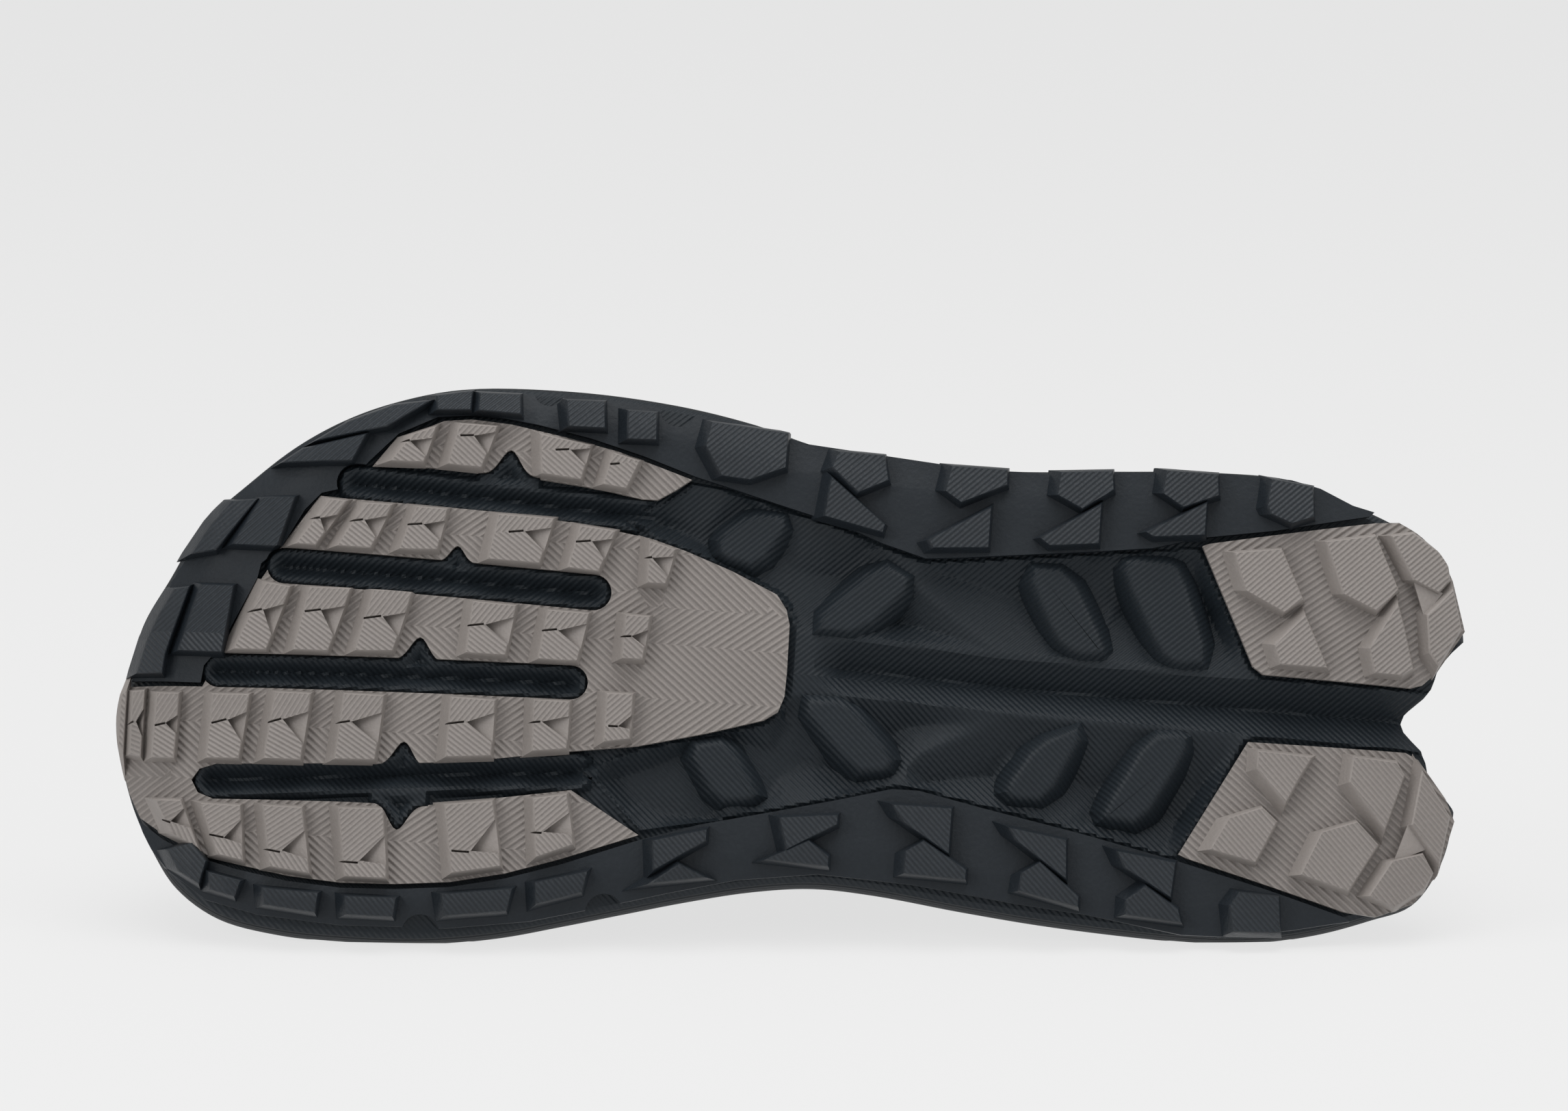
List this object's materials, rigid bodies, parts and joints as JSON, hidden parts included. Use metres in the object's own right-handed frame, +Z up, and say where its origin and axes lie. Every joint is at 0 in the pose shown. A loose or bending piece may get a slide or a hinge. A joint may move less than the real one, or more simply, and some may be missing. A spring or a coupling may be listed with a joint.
{
  "type": "trail running shoe",
  "caption": "Left trail running shoe lying on its inner side, with a lugged rubber outsole, deep foam midsole and laced mesh upper.",
  "frame": {"origin": "middle of the bounding box, on the floor that the shoe lies on", "axes": "+X from the toe to the heel, +Y from the tread to the upper, +Z up, towards the outer side of the shoe"},
  "size_m": [0.297, 0.1432, 0.1198],
  "materials": {
    "foam": "matt moulded foam",
    "taupe_rubber": "satin moulded rubber",
    "dark_rubber": "satin moulded rubber",
    "mesh": "engineered knit mesh",
    "overlay": "welded film",
    "lining": "brushed knit",
    "lace": "flat woven",
    "webbing": "woven tape"
  },
  "bodies": {
    "root": {"midsole": "foam", "outsole_forefoot": "taupe_rubber", "outsole_forefoot_island": "taupe_rubber", "outsole_lateral_rail": "dark_rubber", "outsole_medial_rail": "dark_rubber", "heel_pad_lateral": "taupe_rubber", "heel_pad_medial": "taupe_rubber", "upper": "mesh", "insole": "lining", "tongue": "mesh", "eyestay": "overlay", "toe_cap": "overlay", "heel_counter": "overlay", "laces": "lace", "pull_loop": "webbing"}
  },
  "joints": []
}
